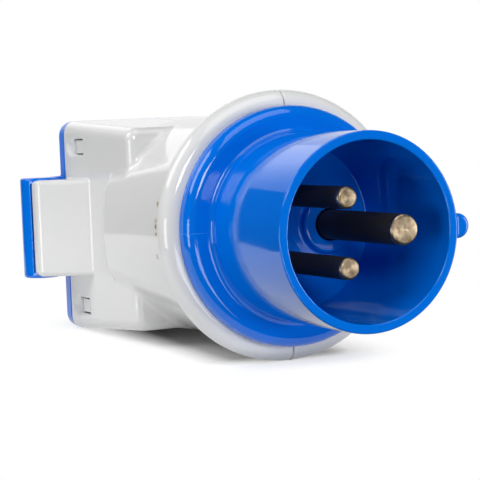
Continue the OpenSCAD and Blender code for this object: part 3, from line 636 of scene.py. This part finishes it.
FINISHES = (
    (turned_brass(), ("earth_pin", "live_pin", "neutral_pin")),
    (black_polyamide(), ("earth_pin_cover", "live_pin_cover", "neutral_pin_cover")),
    (WHITE, ("socket_insert",)),
    # glass-filled polyamide: cream, dull, a little cloudy
    (inner_finish("glass_filled_cream_polyamide", "#cfc6ae", "#dcd5c0", 3.0, 0.55),
     ("pin_retainer", "contact_carrier")),
    # stamped brass strip: yellow with a drawn, slightly streaky gloss
    (inner_finish("stamped_yellow_brass", "#b8923f", "#d8b866", 1.2, 0.3, 1.0),
     ("live_contact", "neutral_contact", "earth_strap")),
    (ZINC, ("retainer_screws", "terminal_screws", "carrier_screws", "body_screws", "hinge_pin")),
    # extruded PVC insulation: even colour and a soft waxy gloss
    (inner_finish("extruded_brown_pvc", "#5a3a24", "#6a452c", 2.0, 0.45), ("live_lead",)),
    (inner_finish("extruded_light_blue_pvc", "#2c6fb0", "#3a80c2", 2.0, 0.45), ("neutral_lead",)),
    (inner_finish("extruded_green_pvc", "#2f7d3a", "#4a9440", 2.0, 0.45), ("earth_lead",)),
    # moulded EPDM rubber: charcoal and dull
    (inner_finish("moulded_black_rubber", "#1a1a1b", "#262627", 0.8, 0.7), ("lid_gasket",)),
)
for finish, names in FINISHES:
    for name in names:
        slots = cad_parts[name].data.materials
        slots.clear()
        slots.append(finish)


# Stage: table, light and camera

RING_FOOT, BOX_FOOT = (-8.1, -RING_R), (LID_BACK, -BOX_H / 2 - BOX_DROP)
FLOOR_TILT = math.atan2(BOX_FOOT[1] - RING_FOOT[1], RING_FOOT[0] - BOX_FOOT[0])
# The table's outline: the gloss mirrors its slanted edge behind the object, and nothing white lies before
# the flange
TABLE = [(14, -130), (14, 130), (-260, 130), (-266, -140), (-129, -91), (-93, -78), (-93, -130)]
# The object's foot on the table, the painted glow that brightens the table away from the foot and so leaves a
# painted shade around it, how far out that glow is full, and where the table then fades to white
FOOT_MID, FOOT_HALF = (-52.0, 0.0), (36.0, 11.0)
TABLE_GLOW, GLOW_REACH, FADE_FROM, FADE_TO = 0.5, 9.0, 4.0, 23.0
PURE_WHITE = (1, 1, 1, 1)


def table_top():
    """A flat outline in the table's own plane, in metres."""
    mesh = bpy.data.meshes.new("floor")
    mesh.from_pydata([((x - RING_FOOT[0]) * MM, y * MM, 0) for x, y in TABLE], [], [range(len(TABLE))])
    return mesh


def seen_white(tree, mirrored_share=1.0):
    """1 for what the camera sees, and this share for what a gloss mirrors or a clear piece lets through."""
    camera_ray, glossy, through = [add(tree, "ShaderNodeLightPath", out=ray) for ray in
                                   ("Is Camera Ray", "Is Glossy Ray", "Is Transmission Ray")]
    mirrored = add(tree, "ShaderNodeMath", {0: glossy, 1: through}, operation="MAXIMUM")
    mirrored = add(tree, "ShaderNodeMath", {0: mirrored, 1: mirrored_share}, operation="MULTIPLY")
    return add(tree, "ShaderNodeMath", {0: camera_ray, 1: mirrored}, operation="MAXIMUM")


def white_laminate():
    # Matt white laminate with the faintest mottle; the camera and the gloss see it as white as the backdrop
    # further out, and close to the object it keeps the shadow under a painted glow that grows from nothing at
    # the object's foot, a painted shade there.
    m, t, place = new_material("matt_white_laminate")
    mottle = add(t, "ShaderNodeTexNoise", {"Vector": place, "Scale": per(6), "Detail": 3.0})
    matt = add(t, "ShaderNodeBsdfDiffuse", {"Color": blend_colours(t, mottle, "#dcdcdc", "#e2e2e2")})
    middle = Vector((FOOT_MID[0] - RING_FOOT[0], FOOT_MID[1], 0)) * MM
    out = add(t, "ShaderNodeVectorMath", {0: place, 1: middle}, operation="SUBTRACT")
    out = add(t, "ShaderNodeVectorMath", {0: out}, operation="ABSOLUTE")
    out = add(t, "ShaderNodeVectorMath", {0: out, 1: Vector((*FOOT_HALF, 0)) * MM}, operation="SUBTRACT")
    out = add(t, "ShaderNodeVectorMath", {0: out, 1: (0, 0, 0)}, operation="MAXIMUM")
    from_foot = add(t, "ShaderNodeVectorMath", {0: out}, out="Value", operation="LENGTH")
    # painted glow: emission that grows from nothing at the object's foot, leaving a painted shade around the
    # foot
    glow_level = add(t, "ShaderNodeMapRange", {"Value": from_foot, "From Max": GLOW_REACH * MM,
                                        "To Max": TABLE_GLOW})
    fade = add(t, "ShaderNodeMapRange", {"Value": from_foot, "From Min": FADE_FROM * MM,
                                         "From Max": FADE_TO * MM}, interpolation_type="SMOOTHSTEP")
    painted_glow = add(t, "ShaderNodeEmission", {"Color": PURE_WHITE, "Strength": glow_level})
    matt_and_glow = add(t, "ShaderNodeAddShader", {0: matt, 1: painted_glow})
    plain = add(t, "ShaderNodeEmission", {"Color": PURE_WHITE, "Strength": 1.0})
    faded = add(t, "ShaderNodeMixShader", {0: fade, 1: matt_and_glow, 2: plain})
    seen = add(t, "ShaderNodeMixShader", {0: seen_white(t), 1: matt, 2: faded})
    add(t, "ShaderNodeOutputMaterial", {"Surface": seen})
    return m


floor = bpy.data.objects.new("floor", table_top())
floor.data.materials.append(white_laminate())
bpy.context.scene.collection.objects.link(floor)
floor.rotation_euler = (0, FLOOR_TILT, 0)
floor.location = Vector((RING_FOOT[0], 0, RING_FOOT[1])) * MM


def toward(azimuth, elevation, distance):
    """The way out from the object in these degrees, this far."""
    a, e = math.radians(azimuth), math.radians(elevation)
    return Vector((math.cos(e) * math.cos(a), math.cos(e) * math.sin(a), math.sin(e))) * distance


LAMPS_AIM = Vector((-0.03, 0, 0))


def softbox(name, azimuth, elevation, distance, size, level):
    """A rectangular lamp aimed at the object; level is its light on a face turned to it, 1 for white
    paper."""
    lamp = bpy.data.lights.new(name, "AREA")
    lamp.shape, lamp.size, lamp.size_y = "RECTANGLE", size[0], size[1]
    lamp.energy = level * math.pi ** 2 * distance ** 2
    o = bpy.data.objects.new(name, lamp)
    bpy.context.scene.collection.objects.link(o)
    out = toward(azimuth, elevation, distance)
    o.location = LAMPS_AIM + out
    o.rotation_euler = (-out).to_track_quat("-Z", "Y").to_euler()


softbox("key_softbox", -19, 20, 1.3, (0.4, 0.34), 0.29)
softbox("low_left_softbox", -72, -3, 1.2, (0.46, 0.38), 0.23)
softbox("front_low_softbox", 0, -12, 1.1, (0.6, 0.2), 0.16)
softbox("front_top_softbox", 5, 62, 1.0, (0.8, 0.8), 0.43)
softbox("rear_softbox", -165, 34, 0.8, (0.8, 0.36), 0.08)
softbox("left_softbox", -105, 40, 0.9, (0.5, 0.5), 0.46)
softbox("right_softbox", 50, 0, 1.1, (0.5, 0.4), 0.42)

# The world: a dim room with a white backdrop behind the object, which the gloss mirrors up to its edge
BACKDROP_WAY = toward(154, -4, 1.0)
BACKDROP_EDGE = (0.66, 0.76)
ROOM_LEVEL = 0.025

world = bpy.data.worlds.new("studio")
bpy.context.scene.world = world
world.use_nodes = True
t = world.node_tree
t.nodes.clear()
way = add(t, "ShaderNodeTexCoord", out="Generated")
facing = add(t, "ShaderNodeVectorMath", {0: way, 1: BACKDROP_WAY}, out="Value", operation="DOT_PRODUCT")
backdrop = add(t, "ShaderNodeMapRange", {"Value": facing, "From Min": BACKDROP_EDGE[0],
                                         "From Max": BACKDROP_EDGE[1]})
room = add(t, "ShaderNodeBackground", {"Color": (ROOM_LEVEL, ROOM_LEVEL, ROOM_LEVEL, 1), "Strength": 1.0})
white = add(t, "ShaderNodeBackground", {"Color": PURE_WHITE, "Strength": 1.0})
studio = add(t, "ShaderNodeMixShader", {0: seen_white(t, backdrop), 1: room, 2: white})
add(t, "ShaderNodeOutputWorld", {"Surface": studio})

# The camera as it was fitted to the photo
CAMERA_AT = (371.19, -190.22, 25.42)
CAMERA_RIGHT = Vector((0.42882, 0.90238, -0.04089))
CAMERA_UP = Vector((-0.04294, 0.06566, 0.99691))
camera_data = bpy.data.cameras.new("camera")
camera_data.lens, camera_data.sensor_width = 135.0, 36.0
camera = bpy.data.objects.new("camera", camera_data)
bpy.context.scene.collection.objects.link(camera)
right = CAMERA_RIGHT.normalized()
up = (CAMERA_UP - right * CAMERA_UP.dot(right)).normalized()
turn = Matrix((right, up, right.cross(up))).transposed().to_4x4()
camera.matrix_world = Matrix.Translation(Vector(CAMERA_AT) * MM) @ turn
bpy.context.scene.camera = camera
bpy.context.scene.view_settings.view_transform = "Standard"
